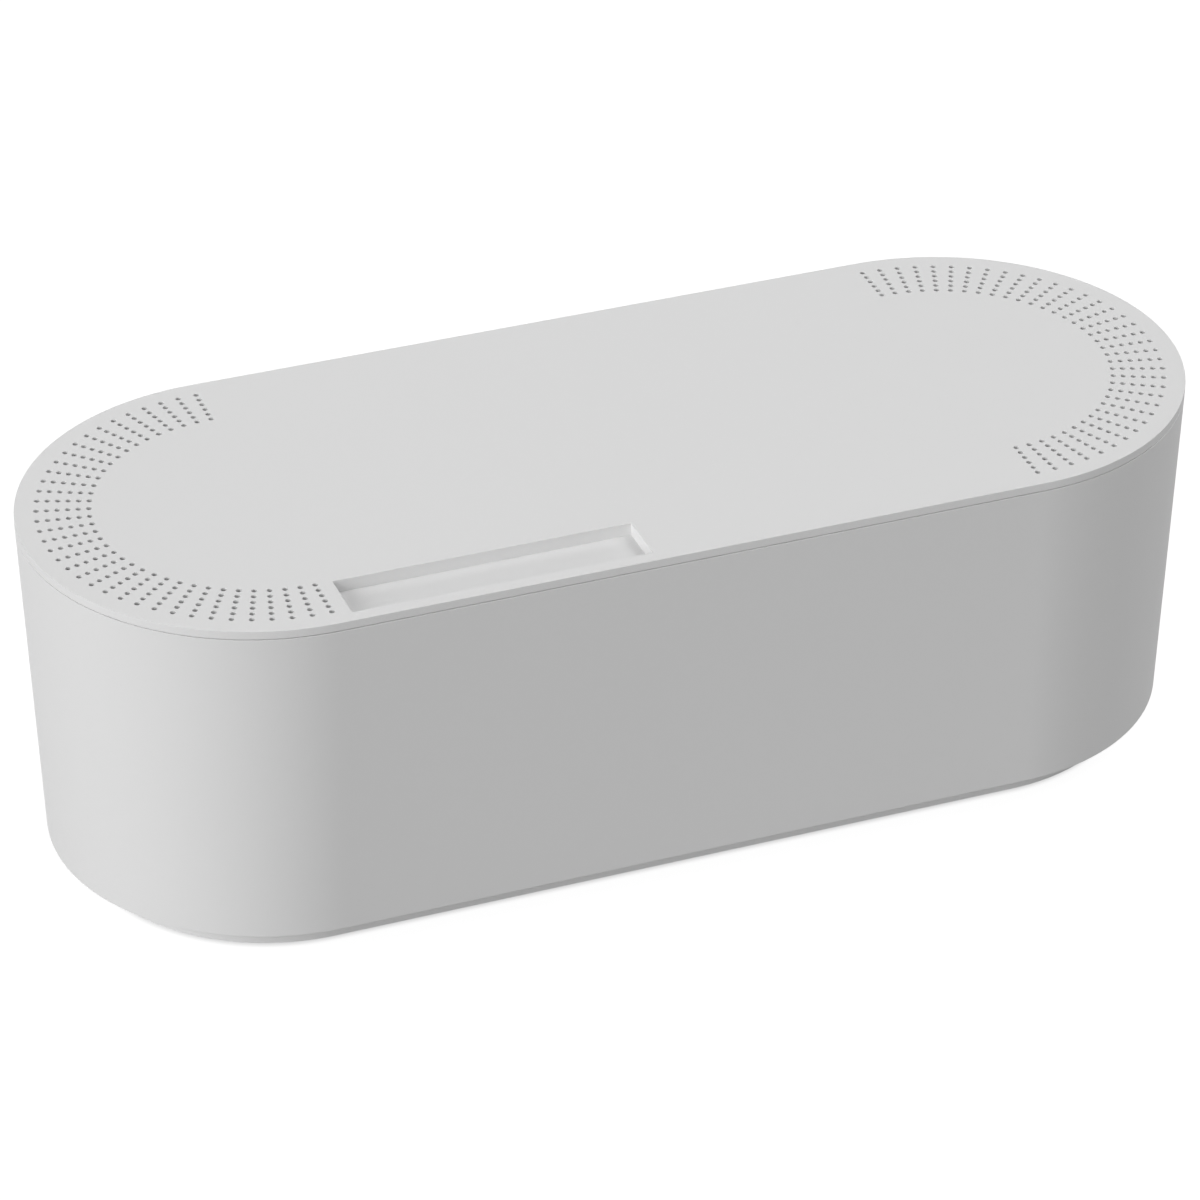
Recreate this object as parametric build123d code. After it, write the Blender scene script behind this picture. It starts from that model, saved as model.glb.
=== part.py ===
"""Cable management box: a long round-ended tub that hides a power strip and its plugs.

A lift-off lid, with a fan of vent holes over each end, drops into the mouth of a one-piece
drafted body. The body stands on an inset plinth with cable gates at both ends and at the
back, and rubber pads bonded into seats under the plinth carry it.

Frame: origin on the table under the middle of the box, +X along its length, +Z up, front
towards -Y. Millimetres.
"""

import os
from math import radians, tan

from build123d import *

# ---- outline -----------------------------------------------------------------------------
length = 415.0  # over the lid's rim
width = 165.0  # over the lid's rim, and twice the radius of the round ends
height = 135.0  # lid top above the table

# ---- lid ---------------------------------------------------------------------------------
rim_height = 2.9  # visible edge of the lid
top_break = 0.4  # broken edge round the top
plate = 2.2  # thickness inside the rim
seam_gap = 0.4  # shadow line between the rim and the body
seam_depth = 0.8  # how far in the shadow line goes
skirt_wall = 1.8
skirt_depth = 8.0  # below the body's mouth
skirt_clearance = 0.5  # to the inside of the body's wall
lid_rib = 1.4  # thickness of the stiffening ribs
lid_rib_depth = 3.0  # below the plate
cross_ribs = 3
cross_rib_spacing = 84.0
long_rib_spacing = 56.0  # between the pair that runs lengthwise

# small upright ribs on the skirt that centre the lid in the mouth
centring_width = 3.0
centring_height = 6.5
centring_clearance = 0.15  # to the inside of the body's wall
centring_spacing = 150.0

# ---- vents -------------------------------------------------------------------------------
vent_across = 1.8  # over the corners of each small hole
vent_sides = 4
vent_edge = 7.5  # outermost ring, in from the edge of the lid
vent_pitch = 3.5  # between rings
vent_rings = 6
vent_rays = 37  # over each half-round end

# ---- badge pocket, left blank ------------------------------------------------------------
badge_length = 104.0
badge_width = 20.0
badge_depth = 4.6
badge_edge = 5.0  # in from the front edge of the lid
badge_offset = 6.0  # in from the centre of the left end
badge_wall = 1.8

# ---- body --------------------------------------------------------------------------------
wall = 2.2
draft = 2.0  # degrees that the wall leans in towards the floor
floor = 2.5
bottom_break = 0.8  # outside, where the wall turns under
inner_break = 2.0  # inside, where the wall meets the floor
plinth_height = 10.1
plinth_inset = 10.4  # in from the bottom of the wall
plinth_wall = 2.2
base_rib = 1.6
base_rib_depth = 3.5  # below the floor
base_ribs = 4
base_rib_spacing = 60.0

# ---- cable ports: a hole in the floor with a gate in the plinth beside it -------------------
port_length = 44.0
port_depth = 30.0
port_corner = 6.0
port_setback = 9.0  # in from the outside of the plinth
gate_height = 7.6
gate_corner = 3.0

# ---- feet --------------------------------------------------------------------------------
foot_diameter = 14.0
foot_proud = 1.8  # below the plinth
foot_sunk = 1.2  # in its seat
foot_edge = 3.0  # in from the outside of the plinth
foot_clearance = 0.2  # round the pad, in its seat
boss_wall = 1.8  # beside the seat
boss_core = 9.0  # side of the square hollow above the pad

# ---- worked out from the above -----------------------------------------------------------
end_radius = width / 2
end_centre = length / 2 - end_radius
lean = tan(radians(draft))

rim_z = height - rim_height
mouth_z = rim_z - seam_gap  # where the lid rests on the body
plate_z = height - plate
skirt_z = mouth_z - skirt_depth
skirt_radius = end_radius - wall - skirt_clearance  # outside, at the mouth

base_z = foot_proud + plinth_height  # underside of the floor
floor_z = base_z + floor
floor_radius = end_radius - wall - lean * (mouth_z - floor_z) - inner_break
plinth_radius = end_radius - lean * (mouth_z - base_z) - plinth_inset

seat_radius = foot_diameter / 2 + foot_clearance
seat_z = foot_proud + foot_sunk
foot_y = plinth_radius - foot_edge - foot_diameter / 2
foot_places = {
    "foot_front_left": (-end_centre, -foot_y),
    "foot_front_right": (end_centre, -foot_y),
    "foot_rear_left": (-end_centre, foot_y),
    "foot_rear_right": (end_centre, foot_y),
}
over = 1.0  # how far a cutter runs past the face it opens


def stadium(radius):
    """Round-ended outline about the box's two end centres."""
    return SlotCenterToCenter(2 * end_centre, 2 * radius)


def upright(outline, bottom_z, top_z):
    """Prism on an outline between two heights."""
    return Pos(0, 0, bottom_z) * extrude(outline, top_z - bottom_z)


def drafted(radius_at_mouth, bottom_z, top_z):
    """Round-ended block whose sides lean in towards the floor as the wall does."""
    top_radius = radius_at_mouth + lean * (top_z - mouth_z)
    return Pos(0, 0, top_z) * extrude(stadium(top_radius), bottom_z - top_z, taper=draft)


def spread(count, spacing):
    """Even places about zero."""
    return [spacing * (i - (count - 1) / 2) for i in range(count)]


# ---- lid ---------------------------------------------------------------------------------
def vent_fans():
    """Rings of small holes over the half-round ends, as one outline."""
    hole = RegularPolygon(vent_across / 2, vent_sides)
    outer_ring = end_radius - vent_edge
    holes = []
    for side, first_ray in ((1, -90), (-1, 90)):
        for ring in range(vent_rings):
            radius = outer_ring - ring * vent_pitch
            fan = PolarLocations(radius, vent_rays, first_ray, 180, endpoint=True)
            holes += [Pos(side * end_centre, 0) * place * hole for place in fan]
    return Sketch(children=holes)


def badge_outline(grow=0.0):
    """Badge rectangle near the lid's front edge, grown all round."""
    middle_x = -end_centre + badge_offset + badge_length / 2
    middle_y = -end_radius + badge_edge + badge_width / 2
    return Pos(middle_x, middle_y) * Rectangle(badge_length + 2 * grow, badge_width + 2 * grow)


def lid_ribs():
    """Stiffening grid under the plate."""
    across = [Pos(x, 0) * Rectangle(lid_rib, width) for x in spread(cross_ribs, cross_rib_spacing)]
    along = [Pos(0, y) * Rectangle(2 * end_centre, lid_rib) for y in spread(2, long_rib_spacing)]
    return upright(Sketch() + across + along, plate_z - lid_rib_depth, plate_z + over / 2)


def centring_ribs():
    """Low upright ribs on the outside of the skirt, four along the sides and one at each end."""
    band = drafted(end_radius - wall - centring_clearance, mouth_z - centring_height, mouth_z)
    band -= drafted(skirt_radius - skirt_wall / 2, skirt_z, plate_z)
    ends = Rectangle(length, centring_width)
    sides = [Pos(x, 0) * Rectangle(centring_width, width) for x in spread(2, centring_spacing)]
    return band & upright(Sketch() + ends + sides, skirt_z, plate_z)


def make_lid():
    rim = upright(stadium(end_radius), rim_z, height)
    rim = chamfer(rim.edges().group_by(Axis.Z)[-1], top_break)
    # a standing ring inside the shadow line rests on the mouth of the body
    seat = upright(stadium(end_radius - seam_depth), mouth_z, rim_z + over)
    within_skirt = drafted(skirt_radius, skirt_z, plate_z)
    hollow = drafted(skirt_radius - skirt_wall, skirt_z - over, plate_z)
    pocket_z = height - badge_depth

    lid = rim + seat + within_skirt - hollow
    lid += lid_ribs() & within_skirt
    lid += upright(badge_outline(badge_wall), pocket_z - badge_wall, plate_z) & within_skirt
    lid -= upright(badge_outline(), pocket_z, height + over)
    lid += centring_ribs()
    lid -= upright(vent_fans(), plate_z - over, height + over)
    return lid


# ---- body: one moulding, given as three solids that meet face to face ------------------------
def port_places():
    """Frames at the plinth's outer face, +X outwards: right end, left end and back."""
    return [
        Pos(end_centre + plinth_radius, 0),
        Pos(-end_centre - plinth_radius, 0) * Rot(0, 0, 180),
        Pos(0, plinth_radius) * Rot(0, 0, 90),
    ]


def make_wall():
    """Leaning wall with its turned-under foot, open where the floor lies."""
    tub = drafted(end_radius, base_z, mouth_z)
    tub = chamfer(tub.edges().group_by(Axis.Z)[0], bottom_break)
    hollow = drafted(end_radius - wall, floor_z, mouth_z + over)
    hollow = chamfer(hollow.edges().group_by(Axis.Z)[0], inner_break)
    return tub - hollow - upright(stadium(floor_radius), base_z - over, floor_z + over)


def make_floor():
    """Flat floor with a port beside each gate and cross ribs underneath."""
    plate_and_ribs = upright(stadium(floor_radius), base_z, floor_z)
    rib = Rectangle(base_rib, 2 * (plinth_radius - plinth_wall))
    ribs = [Pos(x, 0) * rib for x in spread(base_ribs, base_rib_spacing)]
    plate_and_ribs += upright(Sketch() + ribs, base_z - base_rib_depth, base_z + over)
    hole = Pos(-port_setback - port_depth / 2, 0) * RectangleRounded(port_depth, port_length, port_corner)
    shaft = upright(hole, base_z - over, floor_z + over)
    return plate_and_ribs - [place * shaft for place in port_places()]


def make_plinth():
    """Inset ring that the box stands on, a gate at both ends and the back, a boss for each foot."""
    ring = upright(stadium(plinth_radius), foot_proud, base_z)
    ring -= upright(stadium(plinth_radius - plinth_wall), foot_proud - over, base_z + over)

    boss_side = 2 * (seat_radius + boss_wall)
    boss = upright(Rectangle(boss_side, boss_side), foot_proud, base_z)
    seat = upright(Circle(seat_radius), foot_proud - over, seat_z)
    core = upright(Rectangle(boss_core, boss_core), foot_proud, base_z + over)
    places = [Pos(*place) for place in foot_places.values()]
    ring += [place * boss for place in places]
    ring -= [place * cutter for place in places for cutter in (seat, core)]

    gate = Plane.YZ * RectangleRounded(port_length, 2 * gate_height, gate_corner)
    tunnel = Pos(-port_setback, 0, foot_proud) * extrude(gate, port_setback + over)
    return ring - [place * tunnel for place in port_places()]


# ---- feet --------------------------------------------------------------------------------
def make_foot():
    """Round rubber pad standing on the table, its top bonded into the seat."""
    return upright(Circle(foot_diameter / 2), 0, seat_z)


parts = {
    "body_wall": make_wall(),
    "body_floor": make_floor(),
    "body_plinth": make_plinth(),
    "lid": make_lid(),
}
for name, place in foot_places.items():
    parts[name] = Pos(*place) * make_foot()

os.makedirs("parts", exist_ok=True)
for name, part in parts.items():
    export_step(part, f"parts/{name}.step")
    print(name, round(part.volume), "mm3")
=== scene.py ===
from math import cos, hypot, pi, radians, sin, tan

import bmesh
import bpy
from mathutils import Matrix, Vector


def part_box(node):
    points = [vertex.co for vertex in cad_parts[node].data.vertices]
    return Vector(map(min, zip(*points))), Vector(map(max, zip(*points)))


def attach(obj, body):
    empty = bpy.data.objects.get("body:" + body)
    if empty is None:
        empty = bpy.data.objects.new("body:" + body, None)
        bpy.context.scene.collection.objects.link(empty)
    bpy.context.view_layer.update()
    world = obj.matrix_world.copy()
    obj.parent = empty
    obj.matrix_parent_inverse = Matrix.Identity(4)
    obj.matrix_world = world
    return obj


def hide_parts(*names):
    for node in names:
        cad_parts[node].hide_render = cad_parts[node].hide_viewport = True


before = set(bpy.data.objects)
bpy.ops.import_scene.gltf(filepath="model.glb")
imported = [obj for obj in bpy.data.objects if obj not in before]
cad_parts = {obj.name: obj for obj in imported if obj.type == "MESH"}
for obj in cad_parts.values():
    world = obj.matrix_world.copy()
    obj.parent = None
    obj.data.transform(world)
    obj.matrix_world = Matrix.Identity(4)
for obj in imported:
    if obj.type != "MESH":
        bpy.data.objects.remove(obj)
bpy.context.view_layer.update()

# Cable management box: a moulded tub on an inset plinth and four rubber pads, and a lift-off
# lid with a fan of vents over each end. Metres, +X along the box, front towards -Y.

MM = 0.001

# ---- camera --------------------------------------------------------------------------------
CAMERA_LENS = 157.05
CAMERA_SENSOR = 36.0
CAMERA_PLACE = (-0.5486, -1.4422, 1.0334)
CAMERA_LOOK = (0.29933, 0.79312, -0.53045)

lens = bpy.data.cameras.new("camera")
lens.lens = CAMERA_LENS
lens.sensor_width = CAMERA_SENSOR
camera = bpy.data.objects.new("camera", lens)
camera.location = CAMERA_PLACE
camera.rotation_euler = Vector(CAMERA_LOOK).to_track_quat("-Z", "Y").to_euler()
bpy.context.scene.collection.objects.link(camera)
bpy.context.scene.camera = camera

# ---- sizes taken from the frame ------------------------------------------------------------
lid_low, lid_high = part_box("lid")
plinth_low, plinth_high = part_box("body_plinth")
wall_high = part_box("body_wall")[1]
floor_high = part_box("body_floor")[1]
TOP = lid_high.z
SKIRT_FOOT = lid_low.z
MOUTH = wall_high.z
END_RADIUS = wall_high.y  # of the round ends, at the mouth and at the lid's rim
END = wall_high.x - END_RADIUS  # centre of a round end
FLOOR_UNDER = plinth_high.z
FLOOR_TOP = floor_high.z
PLINTH_FOOT = plinth_low.z
PLINTH_RADIUS = plinth_high.y

# ---- lid -----------------------------------------------------------------------------------
RIM = 2.9 * MM
RIM_ROUND = 0.12 * MM
SEAM_DEPTH = 0.8 * MM  # how far in the shadow line under the rim goes
PLATE = 2.2 * MM
SKIRT_WALL = 1.8 * MM
SKIRT_GAP = 0.5 * MM  # to the inside of the body's wall
TOP_FILL = 80.5 * MM  # radius inside which the top is one flat sheet
UNDER_FILL = 77.2 * MM  # the same under the plate
RIB = 1.4 * MM
RIB_DEPTH = 3.0 * MM
CROSS_RIBS = (-84 * MM, 0, 84 * MM)
LONG_RIBS = (-28 * MM, 28 * MM)
CENTRING = Vector((3.0, 2.0, 6.5)) * MM  # small upright ribs on the skirt
CENTRING_PLACES = (-75 * MM, 75 * MM)
CENTRING_GAP = 0.15 * MM  # to the inside of the body's wall

# ---- vents ---------------------------------------------------------------------------------
VENT_RADIUS = 1.0 * MM
VENT_LAND = 0.9 * MM  # straight part of a hole, under which it widens
VENT_UNDER_RADIUS = 1.5 * MM  # of a hole at the underside
VENT_SIDES = 14
VENT_EDGE = 7.5 * MM  # outermost ring, in from the edge of the lid
VENT_PITCH = 3.5 * MM  # between rings
VENT_RINGS = 6
VENT_RAYS = 37  # over each half-round end

# ---- badge pocket, blank ---------------------------------------------------------------------
BADGE = Vector((104, 20, 4.6)) * MM
BADGE_MIDDLE = Vector((-67, -67.5, 0)) * MM
BADGE_WALL = 1.8 * MM
BADGE_ROUND = 0.12 * MM
BADGE_START = 1.0 * MM  # depth of the pocket until its tub is joined to the plate

# ---- body ------------------------------------------------------------------------------------
ARC_STEPS = 60  # facets round each half-round end
LEAN = tan(radians(2.0))  # of the wall, inwards on its way down
WALL = 2.2 * MM
FLOOR = FLOOR_TOP - FLOOR_UNDER
BOTTOM_ROUND = 0.2 * MM  # where the wall turns under
INNER_ROUND = 2.5 * MM  # inside, where the wall meets the floor
MOUTH_ROUND = 0.3 * MM  # outside, where it softens the shadow line
MOUTH_INNER_ROUND = 0.12 * MM
FOOT_ROUND = 0.3 * MM  # outside, under the plinth
PLINTH_WALL = 2.2 * MM
FLOOR_FILL = 64.5 * MM  # radius inside which the floor is one flat sheet
FLOOR_RIB = 1.6 * MM
FLOOR_RIB_DEPTH = 3.5 * MM
FLOOR_RIBS = (-90 * MM, -30 * MM, 30 * MM, 90 * MM)
PORT = Vector((30, 44, 0)) * MM
PORT_CORNER = 6.0 * MM
PORT_SETBACK = 9.0 * MM  # in from the outside of the plinth
GATE_HEIGHT = 7.6 * MM
GATE_CORNER = 3.0 * MM
CORNER_STEPS = 6
SEAT_RADIUS = 7.2 * MM
SEAT_DEPTH = 1.2 * MM
BOSS_SIDE = 18.0 * MM
BOSS_CORE = 9.0 * MM  # side of the square hollow above a pad

# ---- pads ------------------------------------------------------------------------------------
PAD_STEPS = 48
PAD_ROUND = 0.5 * MM

# ---- modelling -------------------------------------------------------------------------------
SHARP = radians(36.0)  # edges that turn more than this stay crisp
BITE = 1.0 * MM  # how far a tool runs into or past the face that it meets
WELD = 0.001 * MM  # points nearer than this are one
ON_LOOP = 0.01 * MM  # how near to its radius a point of a round-ended loop lies

# ---- finishes --------------------------------------------------------------------------------
# Noises: cells to a metre, and layers of finer ones on top.
SHELL_FLOW = (11.0, 2.0)  # slow change of tone and sheen along the box
SHELL_MOTTLE = (160.0, 3.0)
SHELL_GRAIN = (2400.0, 2.0)
SHELL_PITS = (900.0, 1.0)
PAD_GRAIN = (1400.0, 3.0)
PAD_DUST = (90.0, 4.0)

SHELL_GREYS = (0.742, 0.758)
FLOW_SHARE = 0.7  # of the slow change in the shell's grey, and the mottle has the rest
GRAIN_SHARE = 0.65  # of the fine grain in the shell's relief, and the pits have the rest
SHELL_RELIEF = 0.1 * MM
SHELL_RELIEF_STRENGTH = 0.6
SHELL_ROUGHNESS = 0.56
FLOW_ROUGHNESS = 0.08  # what the slow change adds
MOTTLE_ROUGHNESS = 0.06
SHELL_SPECULAR = 0.12

PAD_GREYS = (0.022, 0.040)
PAD_RELIEF = 0.08 * MM
PAD_RELIEF_STRENGTH = 0.5
PAD_ROUGHNESS = 0.74
DUST_ROUGHNESS = 0.14  # what the dust adds

# ---- floor and light -------------------------------------------------------------------------
# name, degrees from the front towards the left, degrees up, strength, spread in degrees
LAMPS = (
    ("left_lamp", 78, 21, 1.88, 40),
    ("front_lamp", 25, 25, 0.75, 40),
    ("right_lamp", -90, 52, 1.39, 40),
    ("rear_lamp", 180, 15, 0.85, 40),
)
WORLD_FILL = 0.15  # light that comes evenly from all around
STUDIO_SIZE = 20.0  # from the middle of the studio floor to its sides
STUDIO_GREY = 0.16  # colour of the studio floor, on which the box's shadow shows
STUDIO_FILL = 0.2  # light that the studio floor throws up by itself
STUDIO_GLOW = 0.93  # what the eye and reflections see of it
PAINTED_SHADE_RAMP = 8 * MM  # width of the painted shade on the floor, from the outside of the plinth in to where the floor is dark


# ---- mesh helpers ----------------------------------------------------------------------------
def edges_only(geometry):
    return [g for g in geometry if isinstance(g, bmesh.types.BMEdge)]


def verts_only(geometry):
    return [g for g in geometry if isinstance(g, bmesh.types.BMVert)]


def sweep_round_ended(bm, profile):
    """Carries a line of (radius, height) points once round the two end centres."""
    chain = [bm.verts.new((END, -radius, height)) for radius, height in profile]
    leading = [bm.edges.new(pair) for pair in zip(chain, chain[1:])]
    for side in (1, -1):
        turned = bmesh.ops.spin(
            bm, geom=chain + leading, cent=(side * END, 0, 0), axis=(0, 0, 1), angle=pi, steps=ARC_STEPS
        )
        drawn = bmesh.ops.extrude_edge_only(bm, edges=edges_only(turned["geom_last"]))["geom"]
        chain, leading = verts_only(drawn), edges_only(drawn)
        bmesh.ops.translate(bm, verts=chain, vec=(-side * 2 * END, 0, 0))
    bmesh.ops.remove_doubles(bm, verts=bm.verts, dist=WELD)


def turn_on_lathe(bm, middle, line, steps):
    """Closed round piece about an upright axis, from a line of (radius, height) points."""
    chain = [bm.verts.new((middle.x + radius, middle.y, height)) for radius, height in line]
    edges = [bm.edges.new(pair) for pair in zip(chain, chain[1:])]
    bmesh.ops.spin(
        bm, geom=chain + edges, cent=middle, axis=(0, 0, 1), angle=2 * pi, steps=steps, use_merge=True
    )
    bmesh.ops.remove_doubles(bm, verts=bm.verts, dist=WELD)


def reach(vert):
    """How far a vertex lies from the line between the two end centres."""
    return hypot(max(abs(vert.co.x) - END, 0), vert.co.y)


def loop_at(bm, radius, height):
    """The edges of the round-ended loop that passes at a radius and a height."""
    def on_loop(vert):
        return abs(reach(vert) - radius) < ON_LOOP and abs(vert.co.z - height) < WELD
    return [edge for edge in bm.edges if all(on_loop(vert) for vert in edge.verts)]


def round_off(bm, edges, width, segments):
    """Rounds edges, in a number of facets, and gives the faces made."""
    return bmesh.ops.bevel(
        bm, geom=edges, offset=width, offset_type="OFFSET", segments=segments,
        profile=0.5, affect="EDGES", clamp_overlap=False, material=-1,
    )["faces"]


def open_edges_at(bm, height):
    """Edges with one face or none that lie at a height."""
    return [
        edge for edge in bm.edges
        if len(edge.link_faces) < 2 and all(abs(vert.co.z - height) < WELD for vert in edge.verts)
    ]


def fill_flat(bm, height, up):
    """Closes the sheet at a height. It faces up or down as up is 1 or -1."""
    bmesh.ops.triangle_fill(
        bm, use_beauty=True, use_dissolve=False, edges=open_edges_at(bm, height), normal=(0, 0, up)
    )


def add_block(bm, low, high):
    """Closed block between two corners."""
    low, high = Vector(low), Vector(high)
    size = Matrix.Diagonal((high - low).to_4d())
    bmesh.ops.create_cube(bm, size=1.0, matrix=Matrix.Translation((low + high) / 2) @ size)


def add_rounded_block(bm, place, size, corner, upright_axis):
    """Block about the middle of a place, with the four edges along one of its axes rounded."""
    made = bmesh.ops.create_cube(bm, size=1.0, matrix=Matrix.Diagonal((*size, 1.0)))["verts"]
    corners = [
        edge for edge in {edge for vert in made for edge in vert.link_edges}
        if abs((edge.verts[0].co - edge.verts[1].co)[upright_axis]) > size[upright_axis] / 2
    ]
    whole = {face for vert in made for face in vert.link_faces}
    rounded = round_off(bm, corners, corner, CORNER_STEPS)
    whole = {face for face in whole if face.is_valid} | set(rounded)
    bmesh.ops.transform(bm, matrix=place, verts=list({vert for face in whole for vert in face.verts}))


def object_of(name, bm):
    """Turns a bmesh into an object of the scene."""
    mesh = bpy.data.meshes.new(name)
    bmesh.ops.recalc_face_normals(bm, faces=bm.faces)
    bm.to_mesh(mesh)
    bm.free()
    made = bpy.data.objects.new(name, mesh)
    bpy.context.scene.collection.objects.link(made)
    return made


def worked(bm, *steps):
    """A closed bmesh after tools were joined to it or cut from it, one after another."""
    blank = object_of("blank", bm)
    tools = []
    for operation, tool_bm in steps:
        tool = object_of("tool", tool_bm)
        step = blank.modifiers.new(operation.lower(), "BOOLEAN")
        step.operation = operation
        step.solver = "EXACT"
        step.object = tool
        tools.append(tool)
    result = bmesh.new()
    result.from_object(blank, bpy.context.evaluated_depsgraph_get())
    for spent in [blank, *tools]:
        mesh = spent.data
        bpy.data.objects.remove(spent)
        bpy.data.meshes.remove(mesh)
    bmesh.ops.remove_doubles(result, verts=result.verts, dist=2 * WELD)
    bmesh.ops.dissolve_degenerate(result, edges=result.edges, dist=WELD)
    return result


def finished(name, bm, body, slot, finish, *nodes):
    """A piece of the object: its mesh, its finish, what it rides on and what it stands for."""
    piece = object_of(name, bm)
    piece.data.shade_smooth()
    piece.data.set_sharp_from_angle(angle=SHARP)
    piece.data.materials.append(finish)
    even = piece.modifiers.new("even_shading", "WEIGHTED_NORMAL")
    even.keep_sharp = True
    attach(piece, body)
    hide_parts(*nodes)


# ---- shader helpers ----------------------------------------------------------------------------
class Shade:
    """An output of a finish's nodes. Arithmetic on it adds Math nodes."""

    def __init__(self, tree, socket=None):
        self.tree = tree
        self.socket = socket

    def node(self, kind, settings, sockets, take=0):
        """A node by its type, its settings and the values or links of its sockets."""
        made = self.tree.nodes.new(kind)
        for name, value in settings.items():
            setattr(made, name, value)
        for name, value in sockets.items():
            if isinstance(value, Shade):
                self.tree.links.new(value.socket, made.inputs[name])
            else:
                made.inputs[name].default_value = value
        return Shade(self.tree, made.outputs[take])

    def math(self, operation, first, second):
        return self.node("ShaderNodeMath", {"operation": operation}, {0: first, 1: second})

    def __add__(self, other):
        return self.math("ADD", self, other)

    def __radd__(self, other):
        return self.math("ADD", other, self)

    def __sub__(self, other):
        return self.math("SUBTRACT", self, other)

    def __rsub__(self, other):
        return self.math("SUBTRACT", other, self)

    def __mul__(self, other):
        return self.math("MULTIPLY", self, other)

    def __rmul__(self, other):
        return self.math("MULTIPLY", other, self)


def new_finish(name):
    """An empty material and the start of its nodes."""
    finish = bpy.data.materials.new(name)
    finish.use_nodes = True
    finish.node_tree.nodes.clear()
    return finish, Shade(finish.node_tree)


def output(surface, kind="ShaderNodeOutputMaterial"):
    """Ends the nodes of a material, or of the world, in a surface."""
    made = surface.tree.nodes.new(kind)
    surface.tree.links.new(surface.socket, made.inputs["Surface"])


def noise(start, place, scale, detail):
    return start.node("ShaderNodeTexNoise", {}, {"Vector": place, "Scale": scale, "Detail": detail})


def relief(start, height, strength, distance):
    """Bump of a surface, for its Normal."""
    sockets = {"Strength": strength, "Distance": distance, "Height": height}
    return start.node("ShaderNodeBump", {}, sockets)


def grey(value):
    return (value, value, value, 1.0)


def mixed_grey(start, factor, greys):
    """Colour between two greys. A Mix node's colours are its sockets 6 and 7 and its output 2."""
    first, second = greys
    sockets = {0: factor, 6: grey(first), 7: grey(second)}
    return start.node("ShaderNodeMix", {"data_type": "RGBA"}, sockets, take=2)


# ---- finishes ----------------------------------------------------------------------------------
def satin_plastic():
    """White moulded plastic: an even, very fine grain from the tool and a slow change in sheen."""
    finish, start = new_finish("satin_plastic")
    place = start.node("ShaderNodeTexCoord", {}, {}, take="Object")
    flow = noise(start, place, *SHELL_FLOW)
    mottle = noise(start, place, *SHELL_MOTTLE)
    grain = noise(start, place, *SHELL_GRAIN)
    pits = noise(start, place, *SHELL_PITS)
    tone = FLOW_SHARE * flow + (1 - FLOW_SHARE) * mottle
    height = GRAIN_SHARE * grain + (1 - GRAIN_SHARE) * pits
    shell = start.node("ShaderNodeBsdfPrincipled", {}, {
        "Base Color": mixed_grey(start, tone, SHELL_GREYS),
        "Roughness": SHELL_ROUGHNESS + FLOW_ROUGHNESS * flow + MOTTLE_ROUGHNESS * mottle,
        "Specular IOR Level": SHELL_SPECULAR,
        "Normal": relief(start, height, SHELL_RELIEF_STRENGTH, SHELL_RELIEF),
    })
    output(shell)
    return finish


def pad_rubber():
    """Matte dark rubber with a fine open grain."""
    finish, start = new_finish("pad_rubber")
    place = start.node("ShaderNodeTexCoord", {}, {}, take="Object")
    grain = noise(start, place, *PAD_GRAIN)
    dust = noise(start, place, *PAD_DUST)
    rubber = start.node("ShaderNodeBsdfPrincipled", {}, {
        "Base Color": mixed_grey(start, dust, PAD_GREYS),
        "Roughness": PAD_ROUGHNESS + DUST_ROUGHNESS * dust,
        "Normal": relief(start, grain, PAD_RELIEF_STRENGTH, PAD_RELIEF),
    })
    output(rubber)
    return finish


def seen_directly(start):
    """1 for the eye and for what reflections and clear things show, 0 for light on the box."""
    path = [
        start.node("ShaderNodeLightPath", {}, {}, take=ray)
        for ray in ("Is Camera Ray", "Is Glossy Ray", "Is Transmission Ray")
    ]
    return start.math("MAXIMUM", start.math("MAXIMUM", path[0], path[1]), path[2])


def painted_shade_mask(start):
    """Painted shade on the floor: 0 under the box, rising to 1 at the outside of the plinth and beyond.
    """
    place = start.node("ShaderNodeTexCoord", {}, {}, take="Object")
    x, y = (start.node("ShaderNodeSeparateXYZ", {}, {0: place}, take=axis) for axis in "XY")
    past_end = start.math("MAXIMUM", start.math("ABSOLUTE", x, 0.0) - END, 0.0)
    distance = start.math("SQRT", past_end * past_end + y * y, 0.0)
    rise = (distance - (PLINTH_RADIUS - PAINTED_SHADE_RAMP)) * (1 / PAINTED_SHADE_RAMP)
    return start.math("MINIMUM", start.math("MAXIMUM", rise, 0.0), 1.0)


def studio_floor():
    """Pale floor that reads white and throws a little light back up, with painted shade that keeps it
    dark under the box.
    """
    finish, start = new_finish("studio_floor")
    matt = start.node("ShaderNodeBsdfDiffuse", {}, {"Color": grey(STUDIO_GREY)})
    bright = STUDIO_FILL + (STUDIO_GLOW - STUDIO_FILL) * seen_directly(start)
    # painted shade: the floor's glow and its fill fade out under the box
    strength = bright * painted_shade_mask(start)
    glow = start.node("ShaderNodeEmission", {}, {"Color": grey(1.0), "Strength": strength})
    output(start.node("ShaderNodeAddShader", {}, {0: matt, 1: glow}))
    return finish


def studio_world():
    """Even light from all around, white where it is seen directly."""
    world = bpy.data.worlds.new("studio")
    world.use_nodes = True
    world.node_tree.nodes.clear()
    start = Shade(world.node_tree)
    strength = WORLD_FILL + (1 - WORLD_FILL) * seen_directly(start)
    sky = start.node("ShaderNodeBackground", {}, {"Color": grey(1.0), "Strength": strength})
    output(sky, "ShaderNodeOutputWorld")
    return world


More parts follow.
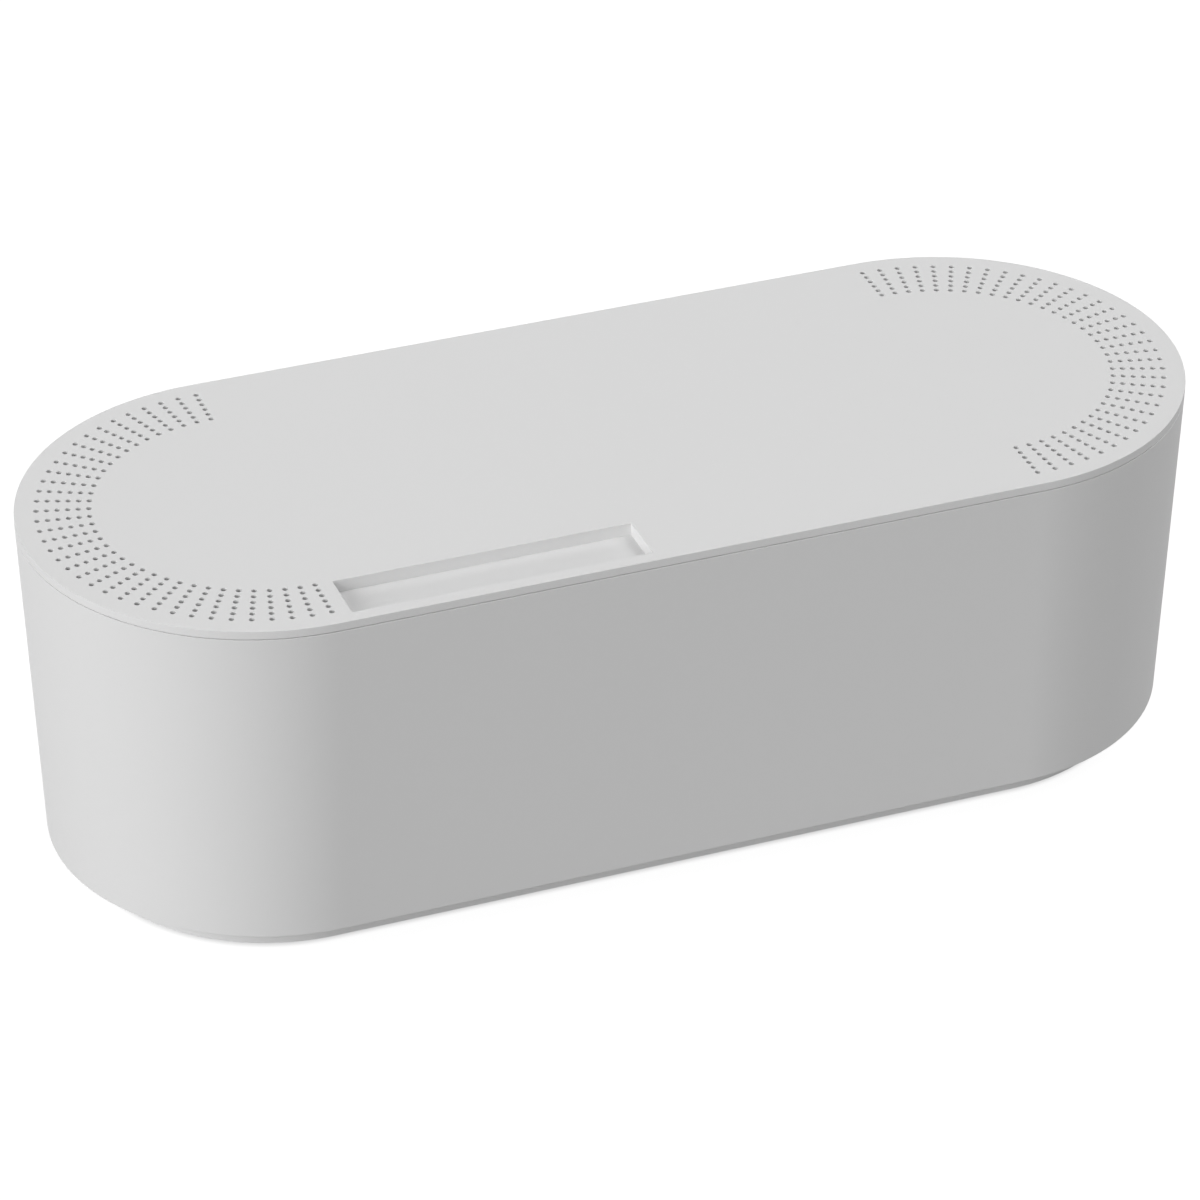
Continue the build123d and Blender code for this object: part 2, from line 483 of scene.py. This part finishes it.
def add_lamp(name, round_angle, height_angle, strength, spread):
    """Soft far lamp, by its degrees from the front towards the left and up from the floor."""
    lamp = bpy.data.lights.new(name, "SUN")
    lamp.energy = strength
    lamp.angle = radians(spread)
    holder = bpy.data.objects.new(name, lamp)
    away = Vector((
        -sin(radians(round_angle)) * cos(radians(height_angle)),
        -cos(radians(round_angle)) * cos(radians(height_angle)),
        sin(radians(height_angle)),
    ))
    holder.rotation_euler = away.to_track_quat("Z", "Y").to_euler()
    bpy.context.scene.collection.objects.link(holder)


# ---- lid ---------------------------------------------------------------------------------------
def vent_fans():
    """Cutters of all the small holes: one row, carried round an end centre and then to the other end."""
    low = TOP - PLATE - BITE
    line = [
        (0, low),
        (VENT_UNDER_RADIUS, low),
        (VENT_UNDER_RADIUS, TOP - PLATE),
        (VENT_RADIUS, TOP - VENT_LAND),
        (VENT_RADIUS, TOP + BITE),
        (0, TOP + BITE),
    ]
    bm = bmesh.new()
    for ring in range(VENT_RINGS):
        radius = END_RADIUS - VENT_EDGE - ring * VENT_PITCH
        turn_on_lathe(bm, Vector((END, -radius, 0)), line, VENT_SIDES)
    for centre, copies in (((END, 0, 0), VENT_RAYS - 1), ((0, 0, 0), 1)):
        row = [*bm.verts, *bm.edges, *bm.faces]
        bmesh.ops.spin(
            bm, geom=row, cent=centre, axis=(0, 0, 1), angle=pi, steps=copies, use_duplicate=True
        )
    return bm


def start_pocket(bm):
    """Sinks a shallow pocket below the level of the top, and gives the verts of its mouth."""
    size = Matrix.Diagonal((BADGE.x / 2, BADGE.y / 2, 1.0, 1.0))
    place = Matrix.Translation(BADGE_MIDDLE + Vector((0, 0, TOP)))
    mouth = bmesh.ops.create_grid(bm, x_segments=1, y_segments=1, size=1.0, matrix=place @ size)["verts"]
    sheet = list({face for vert in mouth for face in vert.link_faces})
    sunk = bmesh.ops.extrude_face_region(bm, geom=sheet)["geom"]
    bmesh.ops.translate(bm, verts=verts_only(sunk), vec=(0, 0, -BADGE_START))
    bmesh.ops.delete(bm, geom=[face for face in sheet if face.is_valid], context="FACES_ONLY")
    return mouth


def lid_plate_and_skirt():
    """Rim, top, skirt and the start of the badge pocket, closed."""
    rim_foot = TOP - RIM
    under = TOP - PLATE
    skirt = END_RADIUS - WALL - SKIRT_GAP
    skirt_in = LEAN * (MOUTH - SKIRT_FOOT)
    bm = bmesh.new()
    sweep_round_ended(bm, [
        (TOP_FILL, TOP),
        (END_RADIUS, TOP),
        (END_RADIUS, rim_foot),
        (END_RADIUS - SEAM_DEPTH, rim_foot),
        (END_RADIUS - SEAM_DEPTH, MOUTH),
        (skirt, MOUTH),
        (skirt - skirt_in, SKIRT_FOOT),
        (skirt - skirt_in - SKIRT_WALL, SKIRT_FOOT),
        (skirt - SKIRT_WALL, under),
        (UNDER_FILL, under),
    ])
    round_off(bm, loop_at(bm, END_RADIUS, TOP), RIM_ROUND, segments=3)
    round_off(bm, loop_at(bm, END_RADIUS, rim_foot), RIM_ROUND / 2, segments=2)

    mouth = start_pocket(bm)
    pocket_rim = [edge for edge in open_edges_at(bm, TOP) if all(v in mouth for v in edge.verts)]
    fill_flat(bm, TOP, up=1)
    fill_flat(bm, under, up=-1)
    round_off(bm, pocket_rim, BADGE_ROUND, segments=2)
    return bm


def pocket_tub():
    """Block round the badge pocket, under the plate."""
    tub = bmesh.new()
    half = Vector((BADGE.x / 2 + BADGE_WALL, BADGE.y / 2 + BADGE_WALL, 0))
    low = BADGE_MIDDLE - half
    high = BADGE_MIDDLE + half
    low.y += BADGE_WALL / 2  # ends inside the skirt's wall
    low.z = TOP - BADGE.z - BADGE_WALL
    high.z = TOP - PLATE + PLATE / 4
    add_block(tub, low, high)
    return tub


def plate_ribs():
    """The stiffening ribs under the plate, across and along."""
    low = TOP - PLATE - RIB_DEPTH
    high = TOP - PLATE / 2
    side = END_RADIUS - WALL - SKIRT_GAP - SKIRT_WALL / 2
    across = bmesh.new()
    for x in CROSS_RIBS:
        add_block(across, (x - RIB / 2, -side, low), (x + RIB / 2, side, high))
    along = bmesh.new()
    for y in LONG_RIBS:
        add_block(along, (-END, y - RIB / 2, low), (END, y + RIB / 2, high))
    return across, along


def centring_ribs():
    """Four small upright ribs on the skirt's long sides and one at each end."""
    centring = bmesh.new()
    outside = END_RADIUS - WALL - CENTRING_GAP - LEAN * CENTRING.z
    low = MOUTH - CENTRING.z
    high = MOUTH + RIM / 3
    for side in (1, -1):
        near, far = sorted((side * (outside - CENTRING.y / 2), side * outside))
        for x in CENTRING_PLACES:
            add_block(centring, (x - CENTRING.x / 2, near, low), (x + CENTRING.x / 2, far, high))
        near, far = sorted((side * (END + outside - CENTRING.y / 2), side * (END + outside)))
        add_block(centring, (near, -CENTRING.x / 2, low), (far, CENTRING.x / 2, high))
    return centring


def deepen_pocket(bm):
    """Takes the floor of the badge pocket down into its tub."""
    floor = [vert for vert in bm.verts if abs(vert.co.z - (TOP - BADGE_START)) < WELD]
    bmesh.ops.translate(bm, verts=floor, vec=(0, 0, BADGE_START - BADGE.z))


def lid_mesh():
    """The whole lid: tub and ribs joined to it, vents cut through it, and its pocket deepened."""
    added = [("UNION", tool) for tool in (pocket_tub(), *plate_ribs(), centring_ribs())]
    bm = worked(lid_plate_and_skirt(), *added, ("DIFFERENCE", vent_fans()))
    deepen_pocket(bm)
    return bm


# ---- body --------------------------------------------------------------------------------------
def wall_radius(height):
    """Outside of the leaning wall."""
    return END_RADIUS - LEAN * (MOUTH - height)


def tub_and_plinth():
    """Wall, floor and plinth, closed, before anything is cut or added."""
    inner = PLINTH_RADIUS - PLINTH_WALL
    bm = bmesh.new()
    sweep_round_ended(bm, [
        (FLOOR_FILL, FLOOR_TOP),
        (wall_radius(FLOOR_TOP) - WALL, FLOOR_TOP),
        (END_RADIUS - WALL, MOUTH),
        (END_RADIUS, MOUTH),
        (wall_radius(FLOOR_UNDER), FLOOR_UNDER),
        (PLINTH_RADIUS, FLOOR_UNDER),
        (PLINTH_RADIUS, PLINTH_FOOT),
        (inner, PLINTH_FOOT),
        (inner, FLOOR_UNDER),
        (FLOOR_FILL, FLOOR_UNDER),
    ])
    round_off(bm, loop_at(bm, wall_radius(FLOOR_TOP) - WALL, FLOOR_TOP), INNER_ROUND, segments=4)
    round_off(bm, loop_at(bm, wall_radius(FLOOR_UNDER), FLOOR_UNDER), BOTTOM_ROUND, segments=4)
    round_off(bm, loop_at(bm, END_RADIUS, MOUTH), MOUTH_ROUND, segments=4)
    round_off(bm, loop_at(bm, END_RADIUS - WALL, MOUTH), MOUTH_INNER_ROUND, segments=2)
    round_off(bm, loop_at(bm, PLINTH_RADIUS, PLINTH_FOOT), FOOT_ROUND, segments=2)
    fill_flat(bm, FLOOR_TOP, up=1)
    fill_flat(bm, FLOOR_UNDER, up=-1)
    return bm


def port_places():
    """At the plinth's outer face, +X outwards: right end, left end and back."""
    return [
        Matrix.Translation((END + PLINTH_RADIUS, 0, 0)),
        Matrix.Translation((-END - PLINTH_RADIUS, 0, 0)) @ Matrix.Rotation(pi, 4, "Z"),
        Matrix.Translation((0, PLINTH_RADIUS, 0)) @ Matrix.Rotation(pi / 2, 4, "Z"),
    ]


def pad_places():
    """Middle of each pad, by its node's name."""
    places = {}
    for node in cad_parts:
        if node.startswith("foot_"):
            low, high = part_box(node)
            places[node] = (low + high) / 2
    return places


def under_works():
    """Ribs and pad bosses under the floor, then ports, gates, seats and cores."""
    added = bmesh.new()
    inner = PLINTH_RADIUS - PLINTH_WALL / 2
    for x in FLOOR_RIBS:
        add_block(
            added,
            (x - FLOOR_RIB / 2, -inner, FLOOR_UNDER - FLOOR_RIB_DEPTH),
            (x + FLOOR_RIB / 2, inner, FLOOR_UNDER + BITE),
        )
    cut = bmesh.new()
    cores = bmesh.new()
    for place in pad_places().values():
        half = Vector((BOSS_SIDE, BOSS_SIDE, 0)) / 2
        core = Vector((BOSS_CORE, BOSS_CORE, 0)) / 2
        middle = Vector((place.x, place.y, 0))
        foot = Vector((0, 0, PLINTH_FOOT))
        add_block(added, middle - half + foot, middle + half + Vector((0, 0, FLOOR_UNDER + BITE)))
        core_foot = foot + Vector((0, 0, SEAT_DEPTH / 2))
        add_block(cores, middle - core + core_foot, middle + core + Vector((0, 0, FLOOR_UNDER)))
        bmesh.ops.create_cone(
            cut, cap_ends=True, cap_tris=False, segments=PAD_STEPS, radius1=SEAT_RADIUS,
            radius2=SEAT_RADIUS, depth=2 * SEAT_DEPTH, matrix=Matrix.Translation(middle + foot),
        )
    for place in port_places():
        across = Matrix.Translation((-PORT_SETBACK - PORT.x / 2, 0, FLOOR_UNDER + FLOOR / 2))
        add_rounded_block(cut, place @ across, (PORT.x, PORT.y, FLOOR + 2 * BITE), PORT_CORNER, 2)
        tunnel = Matrix.Translation(((BITE - PORT_SETBACK) / 2, 0, PLINTH_FOOT))
        add_rounded_block(
            cut, place @ tunnel, (PORT_SETBACK + BITE, PORT.y, 2 * GATE_HEIGHT), GATE_CORNER, 0
        )
    return [("UNION", added), ("DIFFERENCE", cut), ("DIFFERENCE", cores)]


# ---- pads --------------------------------------------------------------------------------------
def pad_mesh(node):
    """Turned pad with a rounded lower edge."""
    low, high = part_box(node)
    middle = (low + high) / 2
    radius = (high.x - low.x) / 2
    bm = bmesh.new()
    line = [(0, low.z), (radius, low.z), (radius, high.z), (0, high.z)]
    turn_on_lathe(bm, middle, line, PAD_STEPS)

    def on_foot_edge(vert):
        out = hypot(vert.co.x - middle.x, vert.co.y - middle.y)
        return abs(vert.co.z - low.z) < WELD and out > radius / 2
    foot_edge = [edge for edge in bm.edges if all(on_foot_edge(vert) for vert in edge.verts)]
    round_off(bm, foot_edge, PAD_ROUND, segments=3)
    return bm


# ---- the box -----------------------------------------------------------------------------------
plastic = satin_plastic()
rubber = pad_rubber()
finished("lid_shell", lid_mesh(), "lid", "shell", plastic, "lid")
body_bm = worked(tub_and_plinth(), *under_works())
finished("body_shell", body_bm, "box", "shell", plastic, "body_wall", "body_floor", "body_plinth")
for node in pad_places():
    finished(node.replace("foot", "pad"), pad_mesh(node), "box", "pad", rubber, node)

# ---- the studio --------------------------------------------------------------------------------
ground = bmesh.new()
bmesh.ops.create_grid(ground, x_segments=1, y_segments=1, size=STUDIO_SIZE)
floor_sheet = object_of("studio_floor", ground)
floor_sheet.data.materials.append(studio_floor())

for lamp_row in LAMPS:
    add_lamp(*lamp_row)
bpy.context.scene.world = studio_world()
bpy.context.scene.view_settings.view_transform = "Standard"
